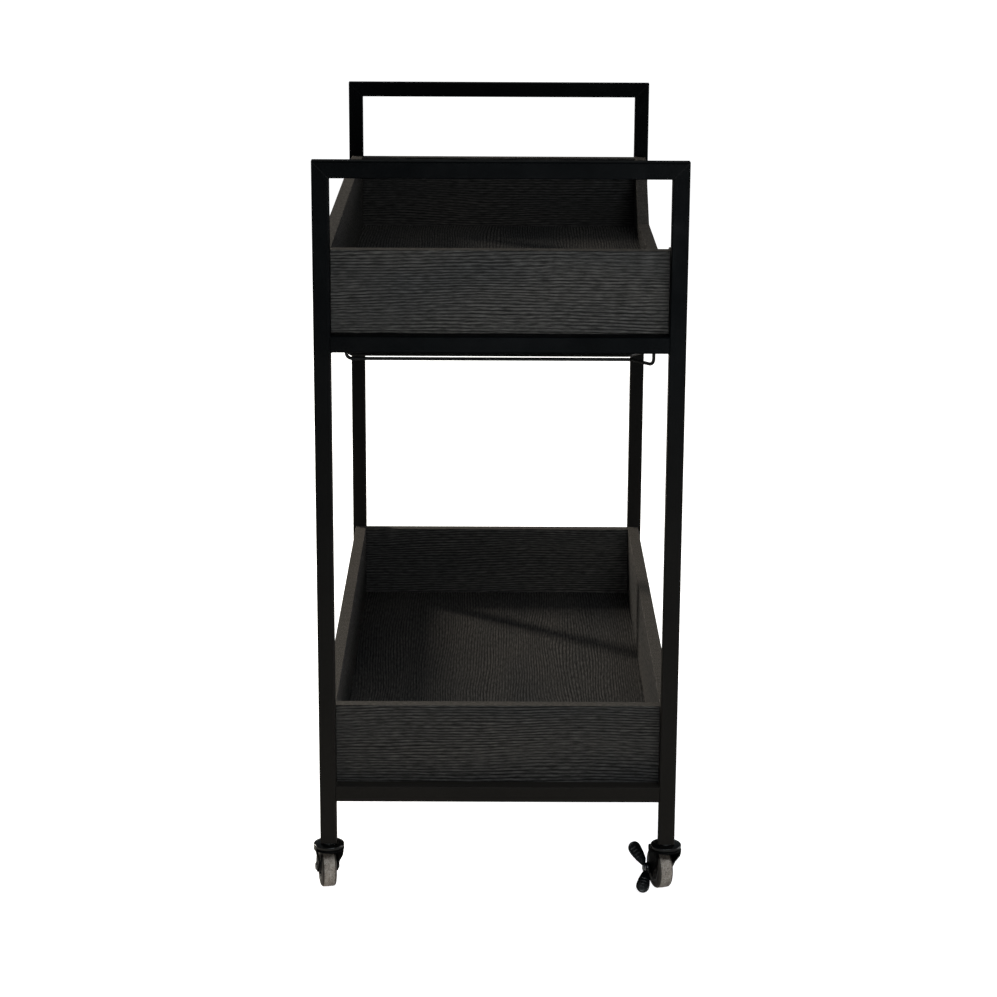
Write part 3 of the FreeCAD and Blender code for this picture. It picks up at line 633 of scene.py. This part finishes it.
def make_frame_welds():
    """Beads in the inside corners where the rails meet the legs and the tabs meet the rails."""
    chance = random.Random(11)
    builder = bmesh.new()
    inset, leg_bead, tab_bead = 2.2 * MM, 1.7 * MM, 1.3 * MM
    for end in ("left", "right"):
        for rail in ("upper_rail", "lower_rail"):
            low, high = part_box(f"{end}_{rail}")
            for side, wall in ((1, low.y), (-1, high.y)):
                for height, away in ((high.z, UP), (low.z, -UP)):
                    start = Vector((low.x + inset, wall, height))
                    stop = Vector((high.x - inset, wall, height))
                    add_bead(builder, start, stop, Vector((0, side, 0)), away, leg_bead, chance)
    for level in ("upper", "lower"):
        for low, high in solids_of(f"{level}_tray_tabs"):
            wall, inward = (low.x, 1) if low.x < 0 else (high.x, -1)
            for side, y in ((-1, low.y), (1, high.y)):
                add_bead(builder, Vector((wall, y, low.z)), Vector((wall, y, high.z)),
                         Vector((inward, 0, 0)), Vector((0, side, 0)), tab_bead, chance)
    piece_from(builder, "frame_weld_beads", powder_coat("weld_satin_black"), "root", sharp=70)


def make_rack(material):
    """Wires and strips in black, with a small flared weld where each wire meets its strip."""
    dress(material, "rack_front_strip", "rack_back_strip")
    chance = random.Random(5)
    builder = bmesh.new()
    wire = 2 * MM
    for number in (1, 2, 3, 4):
        node = f"rack_wires_{number}"
        dress(material, node)
        middle = sum((corner.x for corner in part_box(node)), 0) / 2
        for low, high in solids_of(node):
            straight, flared = low.x + wire, high.x - wire
            if low.x < middle:
                straight, flared = flared, straight
            for x, y in ((straight, high.y - wire), (flared, low.y + wire)):
                flare, depth = wire * chance.uniform(1.75, 2.1), chance.uniform(2.0, 2.8) * MM
                profile = [(wire * 0.9, high.z), (flare, high.z), (flare * 0.97, high.z - 0.18 * depth),
                           (wire * 1.35, high.z - 0.5 * depth), (wire * 1.08, high.z - depth),
                           (wire * 0.9, high.z - depth)]
                turned(builder, profile, Matrix.Translation((x, y, 0)), 28)
    piece_from(builder, "rack_wire_welds", material, "root", sharp=60)


# ---- floor, light, camera ---------------------------------------------------------------------

# the floor is overexposed for the camera alone, so that its light on the cart stays natural,
# and it is clear from below, so that the underside can be looked at
FLOOR_BOUNCE = 0.66
FLOOR_GLOW = 0.95
SURROUND_GLOW = 0.09
WARM = (1, 0.94, 0.84)
COOL = (0.90, 0.97, 1)


def make_stage():
    reach = 80
    mesh = bpy.data.meshes.new("studio_floor")
    mesh.from_pydata([(-reach, -reach, 0), (reach, -reach, 0), (reach, reach, 0), (-reach, reach, 0)],
                     [], [(0, 1, 2, 3)])
    floor = bpy.data.objects.new("studio_floor", mesh)
    bpy.context.scene.collection.objects.link(floor)
    pale = Finish("pale_floor", Specular_IOR_Level=0.05)
    seen = pale.add("ShaderNodeLightPath").outputs["Is Camera Ray"]
    bright = pale.ramp(pale.noise(3, 3), (0.3, grey(0.90)), (0.7, grey(0.92)))
    colour = pale.mixed(seen, grey(FLOOR_BOUNCE, 0.06), bright)
    rough = pale.ramp(pale.noise(5, 3), (0.3, 0.85), (0.7, 0.95))
    from_below = pale.add("ShaderNodeNewGeometry").outputs["Backfacing"]
    pale.feed(pale.shader.inputs["Alpha"], pale.calc("SUBTRACT", 1.0, from_below))
    pale.shader.inputs["Emission Color"].default_value = (1, 1, 1, 1)
    pale.feed(pale.shader.inputs["Emission Strength"], pale.calc("MULTIPLY", seen, FLOOR_GLOW))
    mesh.materials.append(pale.done(colour, rough, pale.bumped(pale.noise(400, 2), 0.05, 0.1 * MM)))


def aimed(lamp, place, aim):
    lamp.location = place
    lamp.rotation_mode = "QUATERNION"
    lamp.rotation_quaternion = (Vector(aim) - Vector(place)).to_track_quat("-Z", "Y")
    lamp.visible_camera = False
    bpy.context.scene.collection.objects.link(lamp)


def sun(name, coming_from, strength, softness):
    data = bpy.data.lights.new(name, "SUN")
    data.energy = strength
    data.angle = math.radians(softness)
    aimed(bpy.data.objects.new(name, data), coming_from, (0, 0, 0))


def softbox(name, place, aim, width, height, power, colour=(1, 1, 1)):
    data = bpy.data.lights.new(name, "AREA")
    data.color = colour
    data.shape = "RECTANGLE"
    data.size = width
    data.size_y = height
    data.energy = power
    aimed(bpy.data.objects.new(name, data), place, aim)


def make_light():
    """Even white surround, a tall key from behind on the left, and softboxes on the near sides."""
    scene = bpy.context.scene
    scene.view_settings.view_transform = "Standard"
    world = bpy.data.worlds.new("studio")
    world.use_nodes = True
    tree = world.node_tree
    surround = tree.nodes["Background"]
    surround.inputs["Color"].default_value = (0.86, 0.95, 1, 1)
    surround.inputs["Strength"].default_value = SURROUND_GLOW
    backdrop = tree.nodes.new("ShaderNodeBackground")
    backdrop.inputs["Color"].default_value = (1, 1, 1, 1)
    backdrop.inputs["Strength"].default_value = 1.0
    seen = tree.nodes.new("ShaderNodeLightPath")
    mix = tree.nodes.new("ShaderNodeMixShader")
    tree.links.new(seen.outputs["Is Camera Ray"], mix.inputs["Fac"])
    tree.links.new(surround.outputs[0], mix.inputs[1])
    tree.links.new(backdrop.outputs[0], mix.inputs[2])
    tree.links.new(mix.outputs[0], tree.nodes["World Output"].inputs["Surface"])
    scene.world = world
    sun("overhead", (0.3, 0.2, 3), 0.15, 60)
    softbox("key", (1.9, 2.15, 1.5), (0.2, 0, 0.3), 0.2, 1.3, 104, WARM)
    softbox("front_low", (-1.15, -0.15, 0.64), (-0.4, 0, 0.66), 0.8, 0.16, 4.2, COOL)
    softbox("front_high", (-1.5, -0.7, 2.0), (-0.4, 0, 0.6), 0.9, 0.9, 7.5, COOL)
    softbox("right", (-0.9, -1.6, 1.1), (-0.4, 0, 0.3), 0.5, 1.4, 2)
    softbox("open_side", (0.15, -2.2, 0.36), (0.05, -0.2, 0.45), 1.6, 0.4, 24)


def make_camera():
    """Seen from beyond the left end, above the handles, looking along the cart and a little down."""
    data = bpy.data.cameras.new("camera")
    data.sensor_width = 36
    data.lens = 94.0
    pitch, heading, roll = (math.radians(value) for value in (15.31, -0.21, 0.28))
    forward = Vector((math.cos(pitch) * math.cos(heading), math.cos(pitch) * math.sin(heading),
                      -math.sin(pitch)))
    level_right = forward.cross(UP).normalized()
    level_up = level_right.cross(forward)
    right = level_right * math.cos(roll) + level_up * math.sin(roll)
    eye = bpy.data.objects.new("camera", data)
    eye.rotation_mode = "QUATERNION"
    eye.rotation_quaternion = Matrix((right, right.cross(forward), -forward)).transposed().to_quaternion()
    eye.location = (-3.243, 0.0112, 1.2638)
    bpy.context.scene.collection.objects.link(eye)
    bpy.context.scene.camera = eye


# ---- make the scene ---------------------------------------------------------------------------

make_camera()
make_light()
make_stage()
dress_frame()
dress_trays()
make_frame_welds()
make_rack(speckled("rack_wire_black", 0.005, 0.011, 120, (0.30, 0.46), Specular_IOR_Level=0.1))
make_casters()
make_screws()
dress(beech(), "upper_tray_dowels", "lower_tray_dowels")
